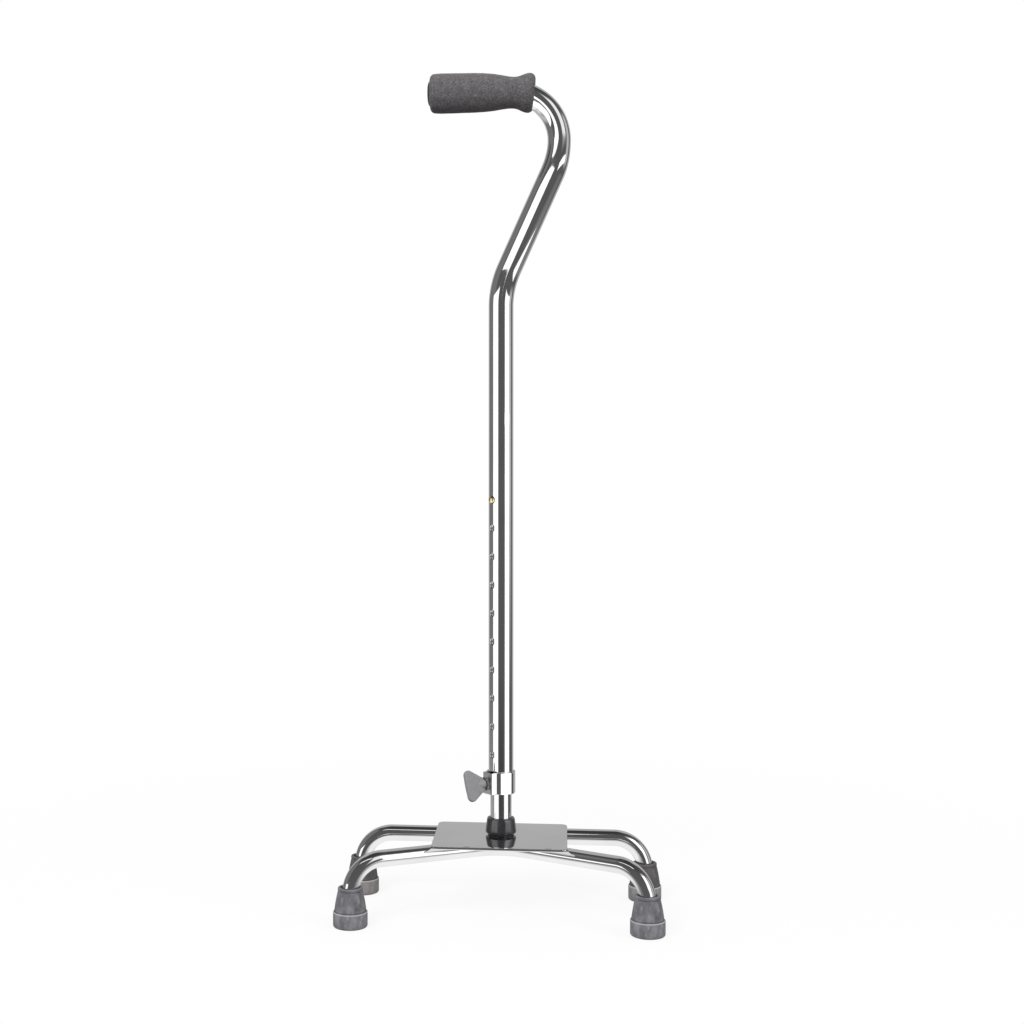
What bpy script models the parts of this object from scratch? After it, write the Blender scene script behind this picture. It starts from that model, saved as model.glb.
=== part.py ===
"""Quad walking cane: a height-adjustable swan-neck cane on a four-footed base.

Metres, +Z up. The floor is Z = 0 and the origin is the middle of the base's footprint.
The handle points along -X and the user walks towards -Y.
"""

from math import asin, cos, pi, radians, sin, sqrt, tan

import bmesh
import bpy
from mathutils import Matrix, Vector

MM = 0.001
GAP = 0.3 * MM  # between pieces that touch

# Base: feet, legs and plate
FOOT_X = {"front": 127.4 * MM, "rear": 130.4 * MM}
FOOT_Y = 54.2 * MM
LEG_RADIUS = 7.25 * MM
LEG_WALL = 1.2 * MM
LEG_SIDES = 14
LEG_BEND_RADIUS = 28.0 * MM
FRONT_ARM_ANGLE = radians(28.4)  # each front arm runs back from its foot to the stem
FRONT_APEX_RADIUS = 45.0 * MM
PLATE_SIZE = (119.0 * MM, 96.0 * MM, 2.6 * MM)
PLATE_TOP_Z = 66.0 * MM
PLATE_Y = 11.7 * MM
PLATE_CORNER = 6.0 * MM
STEM_Y = 15.7 * MM

# Rubber tips
TIP_RADIUS = 15.0 * MM
TIP_BAND_TOP_Z = 13.2 * MM
TIP_TOP_Z = 34.0 * MM
TIP_SEAT_Z = 6.5 * MM
TIP_WASHER_HEIGHT = 1.4 * MM

# Telescoping tubes
UPPER_RADIUS = 11.1 * MM
UPPER_WALL = 1.25 * MM
UPPER_BOTTOM_Z = 105.0 * MM
STEM_RADIUS = 9.525 * MM
STEM_WALL = 1.2 * MM
STEM_TOP_Z = 402.0 * MM

# Height adjustment: one row of holes, an inch apart, and the snap button in the top one
HOLE_PITCH = 25.4 * MM
HOLE_COUNT = 10
HOLE_RADIUS = 3.2 * MM
BUTTON_Z = 367.5 * MM
BUTTON_RADIUS = 2.95 * MM
HOLE_AZIMUTH = radians(44.0)  # from -Y towards -X

# Swan neck and handle
GRIP_Z = 734.4 * MM
HANDLE_END_X = -64.0 * MM
CROOK_START_X = 8.2 * MM
CROOK_RADIUS = 44.0 * MM
SHOULDER_RADIUS = 73.4 * MM
NECK_LEAN = radians(24.3)  # of the neck's straight stretch, from vertical
NECK_BEND_RADIUS = 84.0 * MM
CROOK_SQUEEZE = 0.93  # the tube draws down a little round its tight bend
UPPER_SIDES = 18

# Clamp collar and thumb screw
CLAMP_Z = 113.7 * MM
CLAMP_HEIGHT = 19.0 * MM
CLAMP_WALL = 1.5 * MM
CLAMP_AZIMUTH = radians(47.0)
POCKET_HALF_WIDTH = 6.5 * MM
POCKET_FACE = 16.5 * MM  # from the shaft's axis to the pocket's outer face
STUD_RADIUS = 3.0 * MM
HUB_START = 20.2 * MM
WING_LENGTH = 21.6 * MM
WING_ROLL = radians(18.0)


def clear_scene():
    for obj in list(bpy.data.objects):
        bpy.data.objects.remove(obj, do_unlink=True)


def make_collection(name):
    collection = bpy.data.collections.new(name)
    bpy.context.scene.collection.children.link(collection)
    return collection


def make_material(name, colour, roughness, metallic):
    material = bpy.data.materials.new(name)
    material.use_nodes = True
    shader = material.node_tree.nodes["Principled BSDF"]
    shader.inputs["Base Color"].default_value = (*colour, 1.0)
    shader.inputs["Roughness"].default_value = roughness
    shader.inputs["Metallic"].default_value = metallic
    return material


clear_scene()
CANE = make_collection("quad_walking_cane")
CUTTERS = make_collection("cutters")
CHROME = make_material("chrome", (0.80, 0.80, 0.82), 0.08, 1.0)
STEEL = make_material("steel", (0.55, 0.55, 0.56), 0.35, 1.0)
BRASS = make_material("brass", (0.78, 0.62, 0.32), 0.22, 1.0)
ZINC = make_material("cast_zinc", (0.42, 0.42, 0.44), 0.55, 0.4)
FOAM = make_material("grey_foam", (0.10, 0.095, 0.10), 0.95, 0.0)
RUBBER_GREY = make_material("grey_rubber", (0.22, 0.22, 0.235), 0.75, 0.0)
RUBBER_BLACK = make_material("black_rubber", (0.02, 0.02, 0.022), 0.5, 0.0)
PLASTIC = make_material("dark_plastic", (0.05, 0.05, 0.055), 0.25, 0.0)


# --- helpers -----------------------------------------------------------------


def place(obj, collection=CANE, material=None):
    collection.objects.link(obj)
    if material:
        obj.data.materials.append(material)
    if collection is CUTTERS:
        obj.hide_render = True
        obj.display_type = "WIRE"
    return obj


def object_from(bm, name, material=None, collection=CANE, smooth_angle=40.0):
    bmesh.ops.recalc_face_normals(bm, faces=bm.faces)
    mesh = bpy.data.meshes.new(name)
    bm.to_mesh(mesh)
    bm.free()
    if mesh.polygons:
        mesh.shade_smooth()
        mesh.set_sharp_from_angle(angle=radians(smooth_angle))
    return place(bpy.data.objects.new(name, mesh), collection, material)


def turned(name, outline, material, steps=24):
    """Turn (radius, height) points about Z. The outline runs down its outer side, and closes on itself
    unless both its ends are on the axis."""
    mesh = bpy.data.meshes.new(name)
    count = len(outline)
    edges = [(i, i + 1) for i in range(count - 1)]
    if outline[0][0] > 0 or outline[-1][0] > 0:
        edges.append((count - 1, 0))
    mesh.from_pydata([(r, 0.0, z) for r, z in outline], edges, [])
    obj = place(bpy.data.objects.new(name, mesh), CANE, material)
    screw = obj.modifiers.new("turn", "SCREW")
    screw.steps = screw.render_steps = steps
    screw.use_merge_vertices = True
    screw.merge_threshold = 0.00005
    screw.use_smooth_shade = True
    return obj


def arc(centre, radius, start, end, count):
    """Points (u, v) along a circle, from one angle to another in degrees."""
    steps = [radians(start + (end - start) * i / count) for i in range(count + 1)]
    return [(centre[0] + radius * cos(a), centre[1] + radius * sin(a)) for a in steps]


def tube_along(name, points, radius, material=None, sides=16, caps=True, factors=None):
    """A round tube as a curve along points, converted to a welded mesh so that it can be cut."""
    curve = bpy.data.curves.new(name, "CURVE")
    curve.dimensions = "3D"
    curve.bevel_depth = radius
    curve.bevel_resolution = (sides - 4) // 2
    curve.use_fill_caps = caps
    spline = curve.splines.new("POLY")
    spline.points.add(len(points) - 1)
    for index, (point, target) in enumerate(zip(points, spline.points)):
        target.co = (*point, 1.0)
        target.radius = factors[index] if factors else 1.0
    source = bpy.data.objects.new(name + "_curve", curve)
    CANE.objects.link(source)
    evaluated = source.evaluated_get(bpy.context.evaluated_depsgraph_get())
    mesh = bpy.data.meshes.new_from_object(evaluated)
    bpy.data.objects.remove(source, do_unlink=True)
    bm = bmesh.new()
    bm.from_mesh(mesh)
    bpy.data.meshes.remove(mesh)
    bmesh.ops.remove_doubles(bm, verts=bm.verts, dist=0.00001)
    return object_from(bm, name, material, CANE if material else CUTTERS)


def solidify(obj, thickness, offset):
    shell = obj.modifiers.new("wall", "SOLIDIFY")
    shell.thickness = thickness
    shell.offset = offset
    shell.use_even_offset = True


def bevel(obj, width, segments=2, angle=35.0):
    edge = obj.modifiers.new("edges", "BEVEL")
    edge.width = width
    edge.segments = segments
    edge.limit_method = "ANGLE"
    edge.angle_limit = radians(angle)


def boolean(obj, other, operation="DIFFERENCE"):
    change = obj.modifiers.new(operation.lower(), "BOOLEAN")
    change.operation = operation
    change.object = other
    change.solver = "EXACT"


def outward(azimuth):
    """The level direction at an azimuth measured from -Y towards -X."""
    return Vector((-sin(azimuth), -cos(azimuth), 0.0))


def frame_at(azimuth, z):
    """Local Z points out of the shaft at an azimuth, local X stays level, and the origin is on its axis."""
    normal = outward(azimuth)
    level = Vector((0, 0, 1)).cross(normal)
    turn = Matrix((level, normal.cross(level), normal)).transposed().to_4x4()
    return Matrix.Translation((0.0, STEM_Y, z)) @ turn


def rod_cutter(name, radius, start, end, matrices, sides=16):
    """Round bars along local Z, one for each matrix, as one cutter."""
    bm = bmesh.new()
    for matrix in matrices:
        middle = Matrix.Translation((0, 0, (start + end) / 2))
        bmesh.ops.create_cone(
            bm,
            cap_ends=True,
            segments=sides,
            radius1=radius,
            radius2=radius,
            depth=end - start,
            matrix=matrix @ middle,
        )
    return object_from(bm, name, None, CUTTERS)


def extruded(name, outline, depth, matrix, material):
    """A flat outline in local XY, extruded equally to both sides of its plane."""
    bm = bmesh.new()
    ring = [bm.verts.new((x, y, -depth / 2)) for x, y in outline]
    face = bm.faces.new(ring)
    moved = bmesh.ops.extrude_face_region(bm, geom=[face])["geom"]
    up = [v for v in moved if isinstance(v, bmesh.types.BMVert)]
    bmesh.ops.translate(bm, verts=up, vec=(0, 0, depth))
    bmesh.ops.transform(bm, matrix=matrix, verts=bm.verts)
    return object_from(bm, name, material)


# --- handle, neck and upper tube ---------------------------------------------


def shaft_path():
    """Points (x, z) down the middle of the upper tube, and how much it draws down at each."""
    path = [(HANDLE_END_X, GRIP_Z, 1.0), (CROOK_START_X - 12 * MM, GRIP_Z, 1.0)]
    crook = (CROOK_START_X, GRIP_Z - CROOK_RADIUS)
    path += [(x, z, CROOK_SQUEEZE) for x, z in arc(crook, CROOK_RADIUS, 90, 0, 10)]
    shoulder = (crook[0] + CROOK_RADIUS - SHOULDER_RADIUS, crook[1])
    lean = NECK_LEAN * 180 / pi
    curve = arc(shoulder, SHOULDER_RADIUS, 0, -lean, 3)[1:]
    path += [(x, z, CROOK_SQUEEZE + (1 - CROOK_SQUEEZE) * (i + 1) / 3) for i, (x, z) in enumerate(curve)]
    x, z, _ = path[-1]
    corner_z = z - x / tan(NECK_LEAN)
    tangent = NECK_BEND_RADIUS * tan(NECK_LEAN / 2)
    lower = arc((NECK_BEND_RADIUS, corner_z - tangent), NECK_BEND_RADIUS, 180 - lean, 180, 5)
    path += [(x, z, 1.0) for x, z in lower]
    path.append((0.0, UPPER_BOTTOM_Z, 1.0))
    return path


def shaft_tube(name, radius, material=None, caps=True):
    path = shaft_path()
    points = [(x, STEM_Y, z) for x, z, _ in path]
    factors = [factor for _, _, factor in path]
    return tube_along(name, points, radius, material, UPPER_SIDES, caps, factors)


def make_handle_tube():
    tube = shaft_tube("handle_tube", UPPER_RADIUS, CHROME, caps=False)
    solidify(tube, UPPER_WALL, -1)
    heights = [BUTTON_Z - HOLE_PITCH * i for i in range(HOLE_COUNT)]
    rows = [frame_at(HOLE_AZIMUTH, z) for z in heights]
    boolean(tube, rod_cutter("adjustment_holes", HOLE_RADIUS, 5 * MM, 16 * MM, rows))
    clamp = [frame_at(CLAMP_AZIMUTH, CLAMP_Z)]
    boolean(tube, rod_cutter("clamp_hole", STUD_RADIUS + 0.7 * MM, 5 * MM, 16 * MM, clamp))


def grip_outline():
    """The foam grip's outer side as (radius, distance along it): a crowned barrel, a waist and a flare."""
    length = 94.8 * MM
    barrel, back, waist, flare = 17.7 * MM, 17.35 * MM, 14.0 * MM, 17.2 * MM
    corner = 4.0 * MM
    waist_at, flare_at = 74.0 * MM, 88.5 * MM
    outline = [(r + barrel - corner - 0.4 * MM, u + corner) for u, r in arc((0, 0), corner, 180, 95, 3)]
    outline += [(barrel, 14 * MM), (back, 42 * MM)]
    for i in range(1, 7):
        t = i / 6
        blend = (1 - cos(pi * t)) / 2
        outline.append((back + (waist - back) * blend, (42 + 32 * t) * MM))
    for i in range(1, 4):
        t = i / 3
        blend = (1 - cos(pi * t)) / 2
        outline.append((waist + (flare - waist) * blend, waist_at + (flare_at - waist_at) * t))
    end = arc((length - 5 * MM, flare - 5 * MM), 5 * MM, 75, 0, 3)
    outline += [(r, u) for u, r in end]
    return outline, length


def make_foam_grip():
    outline, length = grip_outline()
    profile = [(0.0, 0.0), *outline, (0.0, length)]
    grip = turned("foam_grip", profile[::-1], FOAM, steps=24)
    grip.matrix_world = Matrix.Translation((HANDLE_END_X, STEM_Y, GRIP_Z)) @ Matrix.Rotation(pi / 2, 4, "Y")
    path = shaft_path()
    points = [(x, STEM_Y, z) for x, z, _ in path if x > HANDLE_END_X or z < GRIP_Z]
    factors = [factor for x, z, factor in path if x > HANDLE_END_X or z < GRIP_Z]
    points.insert(0, (HANDLE_END_X - 5 * MM, STEM_Y, GRIP_Z))
    factors.insert(0, 1.0)
    top = [i for i, point in enumerate(points) if point[2] > GRIP_Z - 60 * MM]
    bore = tube_along(
        "grip_bore",
        [points[i] for i in top],
        UPPER_RADIUS + GAP,
        sides=UPPER_SIDES,
        factors=[factors[i] for i in top],
    )
    boolean(grip, bore)


def make_tube_end_plug():
    head, crown, stub = 10.6 * MM, 2.4 * MM, 9.5 * MM
    dome = [(r, z) for r, z in arc((0, -9 * MM), 11.4 * MM, 90, 35, 4)]
    outline = [(0.0, crown)]
    outline += [(r, z) for r, z in dome[1:-1] if z > 0.8 * MM]
    outline += [(head, 0.8 * MM), (head, GAP), (stub, GAP), (stub - 0.4 * MM, -14 * MM), (0.0, -14 * MM)]
    plug = turned("tube_end_plug", outline, PLASTIC, steps=24)
    plug.matrix_world = Matrix.Translation((HANDLE_END_X, STEM_Y, GRIP_Z)) @ Matrix.Rotation(-pi / 2, 4, "Y")


# --- clamp collar and thumb screw --------------------------------------------


def make_clamp_collar():
    """A strip wrapped round the tube, with a square pocket for the nut, as an open wall with thickness."""
    middle = UPPER_RADIUS + GAP + CLAMP_WALL / 2
    side = POCKET_HALF_WIDTH - CLAMP_WALL / 2
    face = POCKET_FACE - CLAMP_WALL / 2
    half = asin(side / middle) * 180 / pi
    fillet = 1.2 * MM
    loop = arc((0, 0), middle, 90 + half, 450 - half, 22)
    loop += arc((side - fillet, face - fillet), fillet, 0, 90, 2)
    loop += arc((-side + fillet, face - fillet), fillet, 90, 180, 2)
    bm = bmesh.new()
    matrix = frame_at(CLAMP_AZIMUTH, CLAMP_Z)
    low = [bm.verts.new(matrix @ Vector((u, -CLAMP_HEIGHT / 2, v))) for u, v in loop]
    edges = [bm.edges.new((low[i], low[i - 1])) for i in range(len(low))]
    wall = bmesh.ops.extrude_edge_only(bm, edges=edges)["geom"]
    high = [v for v in wall if isinstance(v, bmesh.types.BMVert)]
    lift = (matrix.to_3x3() @ Vector((0, 1, 0))) * CLAMP_HEIGHT
    bmesh.ops.translate(bm, verts=high, vec=lift)
    collar = object_from(bm, "clamp_collar", CHROME)
    solidify(collar, CLAMP_WALL, 0)
    hole = rod_cutter("collar_hole", STUD_RADIUS + 0.4 * MM, 14 * MM, 22 * MM, [matrix])
    boolean(collar, hole)


def make_clamp_nut():
    low, high, half = 11.5 * MM, 14.7 * MM, 4.7 * MM
    square = [(half, half), (-half, half), (-half, -half), (half, -half)]
    matrix = frame_at(CLAMP_AZIMUTH, CLAMP_Z)
    middle = Matrix.Translation((0, 0, (low + high) / 2))
    nut = extruded("clamp_nut", square, high - low, matrix @ middle, STEEL)
    boolean(nut, rod_cutter("nut_thread", STUD_RADIUS + 0.15 * MM, 8 * MM, 20 * MM, [matrix]))


def wing_outline():
    """A rounded triangle (along the screw, across it): narrow at the hub, with two round lobes."""
    lobe, hub = 4.8 * MM, 5.2 * MM
    centre = (WING_LENGTH - 6.0 * MM, 9.1 * MM)
    upper = [(0.0, hub), (3.0 * MM, hub + 0.4 * MM)]
    upper += arc(centre, lobe, 128, 10, 6)
    upper.append((WING_LENGTH, 0.0))
    lower = [(p, -q) for p, q in upper[-2::-1]]
    return upper + lower


def make_thumb_screw():
    """Wing head, stud and washer; the head and stud turn together about the screw's axis."""
    axis = frame_at(CLAMP_AZIMUTH, CLAMP_Z)
    pivot = bpy.data.objects.new("thumb_screw_axis", None)
    pivot.matrix_world = axis
    CANE.objects.link(pivot)

    wing = extruded("thumb_screw_wing", wing_outline(), 3.2 * MM, Matrix.Identity(4), ZINC)
    across = Matrix(((0, 0, 1, 0), (0, 1, 0, 0), (1, 0, 0, 0), (0, 0, 0, 1)))
    roll = Matrix.Rotation(WING_ROLL, 4, "Z")
    wing.data.transform(Matrix.Translation((0, 0, HUB_START)) @ roll @ across)
    wing.data.flip_normals()
    bevel(wing, 0.9 * MM, 2, 30.0)
    hub = bmesh.new()
    bmesh.ops.create_cone(
        hub,
        cap_ends=True,
        segments=20,
        radius1=4.6 * MM,
        radius2=3.0 * MM,
        depth=10 * MM,
        matrix=Matrix.Translation((0, 0, HUB_START + 5 * MM)),
    )
    hub_tool = object_from(hub, "wing_hub", None, CUTTERS)
    boolean(wing, hub_tool, "UNION")
    socket = rod_cutter("wing_socket", STUD_RADIUS + 0.3 * MM, HUB_START - MM, HUB_START + 7 * MM, [Matrix()])
    boolean(wing, socket)
    for piece in (hub_tool, socket, wing):
        piece.parent = pivot

    tip, end = 9.9 * MM, HUB_START + 6.6 * MM
    radius = STUD_RADIUS
    outline = [(0.0, end), (radius, end), (radius, tip + MM), (radius - 0.7 * MM, tip), (0.0, tip)]
    stud = turned("thumb_screw_stud", outline, STEEL, steps=16)
    stud.parent = pivot

    low, high, hole = HUB_START - 1.3 * MM, HUB_START - GAP, radius + GAP
    ring = [(6.0 * MM, high), (6.0 * MM, low), (hole, low), (hole, high)]
    washer = turned("thumb_screw_washer", ring, STEEL, steps=16)
    washer.parent = pivot


# --- stem, snap button and boot ----------------------------------------------


def make_stem():
    inner = STEM_RADIUS - STEM_WALL
    bottom = PLATE_TOP_Z + GAP
    ring = [(STEM_RADIUS, STEM_TOP_Z), (STEM_RADIUS, bottom), (inner, bottom), (inner, STEM_TOP_Z)]
    stem = turned("stem_tube", ring, CHROME, steps=24)
    stem.location = (0, STEM_Y, 0)
    cutter = rod_cutter("button_hole", HOLE_RADIUS, 4 * MM, 14 * MM, [frame_at(HOLE_AZIMUTH, BUTTON_Z)])
    boolean(stem, cutter)


def make_snap_button():
    flange, flange_low, flange_high = 3.3 * MM, 6.5 * MM, 7.2 * MM
    dome_low, tip = 11.9 * MM, 13.9 * MM
    dome = [(r, dome_low + (tip - dome_low) * h / BUTTON_RADIUS) for r, h in arc((0, 0), BUTTON_RADIUS, 90, 0, 5)]
    outline = [(0.0, tip), *dome[1:], (BUTTON_RADIUS, flange_high)]
    outline += [(flange, flange_high), (flange, flange_low), (0.0, flange_low)]
    button = turned("snap_button", outline, BRASS, steps=20)
    button.matrix_world = frame_at(HOLE_AZIMUTH, BUTTON_Z)


def make_button_spring():
    """A steel strip bent to a V inside the stem: one leg backs the button, the other bears on the far wall."""
    thickness, half_width = 0.6 * MM, 2.6 * MM
    path = [(5.9 * MM, 6 * MM), (5.9 * MM, -6 * MM)]
    path += arc((0.6 * MM, -30 * MM), 2.4 * MM, 10, -170, 6)
    path += [(-7.2 * MM, -6 * MM), (-7.2 * MM, 6 * MM)]
    bm = bmesh.new()
    matrix = frame_at(HOLE_AZIMUTH, BUTTON_Z)
    near = [bm.verts.new(matrix @ Vector((-half_width, z, u))) for u, z in path]
    edges = [bm.edges.new(pair) for pair in zip(near, near[1:])]
    strip = bmesh.ops.extrude_edge_only(bm, edges=edges)["geom"]
    far = [v for v in strip if isinstance(v, bmesh.types.BMVert)]
    bmesh.ops.translate(bm, verts=far, vec=matrix.to_3x3() @ Vector((2 * half_width, 0, 0)))
    spring = object_from(bm, "button_spring", STEEL)
    solidify(spring, thickness, 0)


def make_boot():
    """The rubber boot that covers the stem's weld: it swells a little towards the plate."""
    bottom, top, bore = PLATE_TOP_Z + GAP, PLATE_TOP_Z + 15.4 * MM, STEM_RADIUS + 0.25 * MM
    outline = [(bore + 0.6 * MM, top), (11.6 * MM, top), (12.3 * MM, top - 0.8 * MM)]
    outline += [(13.5 * MM, bottom + 6 * MM), (13.8 * MM, bottom + 2 * MM), (13.6 * MM, bottom)]
    outline += [(bore, bottom), (bore, top - 0.8 * MM)]
    boot = turned("stem_boot", outline, RUBBER_BLACK, steps=24)
    boot.location = (0, STEM_Y, 0)


# --- base --------------------------------------------------------------------


def make_plate():
    width, depth, thickness = PLATE_SIZE
    corner_x, corner_y = width / 2 - PLATE_CORNER, depth / 2 - PLATE_CORNER
    outline = []
    for sx, sy, start in ((1, 1, 0), (-1, 1, 90), (-1, -1, 180), (1, -1, 270)):
        outline += arc((sx * corner_x, sy * corner_y), PLATE_CORNER, start, start + 90, 5)
    matrix = Matrix.Translation((0, PLATE_Y, PLATE_TOP_Z - thickness / 2))
    plate = extruded("base_plate", outline, thickness, matrix, CHROME)
    bevel(plate, 0.6 * MM, 2)


def leg_path(foot_x, foot_y, arm_angle, apex_radius):
    """One bent tube from foot to foot. Each arm turns level over its foot and runs inwards, and the two
    arms meet in a level bend when they are at an angle."""
    level_z = PLATE_TOP_Z - PLATE_SIZE[2] - GAP - LEG_RADIUS
    bottom_z = TIP_SEAT_Z + TIP_WASHER_HEIGHT + 3 * GAP
    inward = Vector((-cos(arm_angle), sin(arm_angle), 0))
    foot = Vector((foot_x, foot_y, 0))
    right = [foot + Vector((0, 0, bottom_z))]
    for across, z in arc((LEG_BEND_RADIUS, level_z - LEG_BEND_RADIUS), LEG_BEND_RADIUS, 180, 90, 7):
        right.append(foot + inward * across + Vector((0, 0, z)))
    middle = []
    if arm_angle:
        corner = foot + inward * (foot_x / cos(arm_angle)) + Vector((0, 0, level_z))
        centre_y = corner.y - apex_radius / cos(arm_angle)
        degrees_each_side = arm_angle * 180 / pi
        bend = arc((0, centre_y), apex_radius, 90 - degrees_each_side, 90 + degrees_each_side, 6)
        middle = [Vector((x, y, level_z)) for x, y in bend]
    left = [Vector((-p.x, p.y, p.z)) for p in reversed(right)]
    return right + middle + left


def make_legs():
    for row, foot_y, angle in (("front", -FOOT_Y, FRONT_ARM_ANGLE), ("rear", FOOT_Y, 0.0)):
        points = leg_path(FOOT_X[row], foot_y, angle, FRONT_APEX_RADIUS)
        leg = tube_along(f"{row}_leg", points, LEG_RADIUS, CHROME, LEG_SIDES, caps=False)
        solidify(leg, LEG_WALL, -1)


def make_welds():
    """Short beads in the corner between the plate's underside and each leg."""
    radius, length = 1.5 * MM, 18 * MM
    level_z = PLATE_TOP_Z - PLATE_SIZE[2] - GAP - LEG_RADIUS
    bead_z = PLATE_TOP_Z - PLATE_SIZE[2] - GAP - radius
    aside = sqrt((LEG_RADIUS + GAP + radius) ** 2 - (bead_z - level_z) ** 2) + 0.1 * MM
    front_x = 38 * MM
    front_y = -FOOT_Y + (FOOT_X["front"] - front_x) * tan(FRONT_ARM_ANGLE)
    spots = [("front", front_x, front_y, FRONT_ARM_ANGLE, -1), ("rear", front_x, FOOT_Y, 0.0, -1)]
    for row, x, y, angle, side in spots:
        for hand, sx in (("right", 1), ("left", -1)):
            across = Vector((sx * sin(angle), cos(angle), 0)) * aside * side
            along = Matrix.Rotation(-sx * angle, 4, "Z") @ Matrix.Rotation(pi / 2, 4, "Y")
            outline = [(0.0, length / 2)]
            outline += [(r, length / 2 - radius + h) for r, h in arc((0, 0), radius, 60, 0, 2)]
            outline += [(r, -length / 2 + radius + h) for r, h in arc((0, 0), radius, 0, -60, 2)]
            outline.append((0.0, -length / 2))
            bead = turned(f"weld_bead_{row}_{hand}", outline, STEEL, steps=10)
            bead.matrix_world = Matrix.Translation(Vector((sx * x, y, bead_z)) + across) @ along


def make_tips():
    """Rubber tip: a cone over a wider band, a rolled lip at the mouth, and a groove in the sole."""
    bore = LEG_RADIUS + GAP
    outline = [(8.6 * MM, TIP_TOP_Z), (10.0 * MM, TIP_TOP_Z - 0.1 * MM), (10.9 * MM, TIP_TOP_Z - 1.0 * MM)]
    outline += [(10.9 * MM, TIP_TOP_Z - 2.4 * MM), (11.1 * MM, TIP_TOP_Z - 3.2 * MM)]
    outline += [(14.1 * MM, TIP_BAND_TOP_Z), (14.8 * MM, TIP_BAND_TOP_Z - 0.2 * MM)]
    outline += [(TIP_RADIUS, TIP_BAND_TOP_Z - 0.9 * MM), (TIP_RADIUS, 1.4 * MM), (TIP_RADIUS - 1.2 * MM, 0.0)]
    outline += [(11.0 * MM, 0.0), (10.4 * MM, 1.0 * MM), (8.6 * MM, 1.0 * MM), (8.0 * MM, 0.0), (0.0, 0.0)]
    outline += [(0.0, TIP_SEAT_Z), (bore, TIP_SEAT_Z), (bore, TIP_TOP_Z - 5.5 * MM)]
    low = TIP_SEAT_Z + GAP
    high = low + TIP_WASHER_HEIGHT
    washer_radius = LEG_RADIUS - 0.2 * MM
    for row, sy in (("front", -1), ("rear", 1)):
        for hand, sx in (("left", -1), ("right", 1)):
            spot = (sx * FOOT_X[row], sy * FOOT_Y, 0)
            tip = turned(f"tip_{row}_{hand}", outline, RUBBER_GREY, steps=20)
            tip.location = spot
            disc = [(0.0, high), (washer_radius, high), (washer_radius, low), (0.0, low)]
            washer = turned(f"tip_washer_{row}_{hand}", disc, STEEL, steps=16)
            washer.location = spot


make_handle_tube()
make_foam_grip()
make_tube_end_plug()
make_clamp_collar()
make_clamp_nut()
make_thumb_screw()
make_stem()
make_snap_button()
make_button_spring()
make_boot()
make_plate()
make_legs()
make_welds()
make_tips()
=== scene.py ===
"""Looks for the quad walking cane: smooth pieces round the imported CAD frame, finishes, a studio and a camera.

Metres, +Z up, in the frame's own axes. The shaft's axis is at X = 0, Y = STEM_Y.
"""

from math import asin, atan2, cos, degrees, exp, hypot, pi, radians, sin, tan

import bmesh
import bpy
from mathutils import Matrix, Vector, noise


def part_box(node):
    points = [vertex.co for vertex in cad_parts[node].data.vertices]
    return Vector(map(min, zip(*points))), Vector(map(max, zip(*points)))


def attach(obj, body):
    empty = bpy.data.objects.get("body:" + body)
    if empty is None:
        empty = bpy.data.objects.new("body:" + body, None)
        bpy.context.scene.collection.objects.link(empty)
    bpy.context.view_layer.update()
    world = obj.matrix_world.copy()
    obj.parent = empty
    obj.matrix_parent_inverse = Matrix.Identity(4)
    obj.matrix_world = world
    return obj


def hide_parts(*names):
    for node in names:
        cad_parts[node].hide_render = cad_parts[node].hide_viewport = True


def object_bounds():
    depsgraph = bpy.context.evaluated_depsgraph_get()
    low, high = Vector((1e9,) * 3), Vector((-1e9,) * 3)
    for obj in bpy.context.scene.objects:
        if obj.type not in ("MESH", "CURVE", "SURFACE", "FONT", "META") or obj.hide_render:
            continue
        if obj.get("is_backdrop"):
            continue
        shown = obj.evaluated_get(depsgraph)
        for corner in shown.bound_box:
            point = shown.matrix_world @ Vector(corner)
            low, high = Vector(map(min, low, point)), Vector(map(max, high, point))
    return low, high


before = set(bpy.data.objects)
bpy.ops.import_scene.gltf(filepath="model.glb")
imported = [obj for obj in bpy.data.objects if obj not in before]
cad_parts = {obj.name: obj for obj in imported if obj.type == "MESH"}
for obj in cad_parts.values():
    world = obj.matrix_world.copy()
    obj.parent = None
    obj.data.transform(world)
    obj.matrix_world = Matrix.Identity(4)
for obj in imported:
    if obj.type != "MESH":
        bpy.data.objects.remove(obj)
CAD_LOW, CAD_HIGH = (Vector(corner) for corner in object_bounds())

MM = 0.001
GAP = 0.3 * MM
STEM_Y = 15.7 * MM

FOOT_X = {"front": 127.4 * MM, "rear": 130.4 * MM}
FOOT_Y = 54.2 * MM
LEG_RADIUS, LEG_WALL = 7.25 * MM, 1.2 * MM
LEG_LEVEL_Z = 55.85 * MM
LEG_BEND_RADIUS = 28.0 * MM
FRONT_ARM_ANGLE = radians(28.4)
FRONT_APEX_RADIUS = 45.0 * MM
PLATE_TOP_Z = 66.0 * MM
TIP_RADIUS, TIP_BAND_Z = 15.0 * MM, 13.2 * MM

UPPER_RADIUS, UPPER_WALL = 11.1 * MM, 1.25 * MM
UPPER_BOTTOM_Z, STRAIGHT_TOP_Z = 105.0 * MM, 520.0 * MM
STEM_RADIUS, STEM_WALL = 9.525 * MM, 1.2 * MM
STEM_TOP_Z = 402.0 * MM
HOLE_PITCH, HOLE_COUNT, HOLE_RADIUS = 25.4 * MM, 10, 3.2 * MM
BUTTON_Z, BUTTON_RADIUS = 367.5 * MM, 2.95 * MM
HOLE_AZIMUTH = radians(44.0)

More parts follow.
